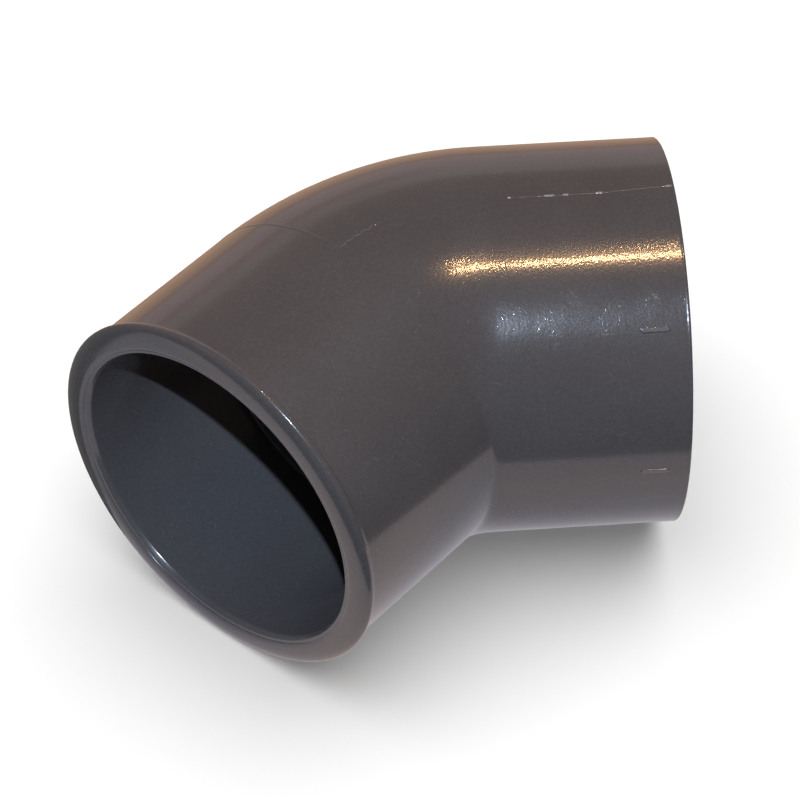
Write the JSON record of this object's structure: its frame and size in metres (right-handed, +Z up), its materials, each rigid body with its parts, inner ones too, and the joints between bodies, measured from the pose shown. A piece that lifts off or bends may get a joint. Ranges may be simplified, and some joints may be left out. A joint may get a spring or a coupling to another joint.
{
  "type": "pipe elbow",
  "caption": "Moulded plastic pressure pipe elbow with a shallow bend and solvent cement sockets; the first mouth is plain and square, the other has a rounded bead.",
  "frame": {"origin": "on the surface that the elbow lies on, under the middle of its box", "axes": "+X along the plain socket's axis, out of its mouth; +Z up, square to the bend plane, so both socket axes are level; the beaded socket's mouth faces 45 degrees off -X, towards -Y"},
  "size_m": [0.202, 0.1768, 0.132],
  "materials": {
    "grey_pvcu": "satin"
  },
  "bodies": {
    "root": {"elbow_body": "grey_pvcu"}
  },
  "joints": []
}
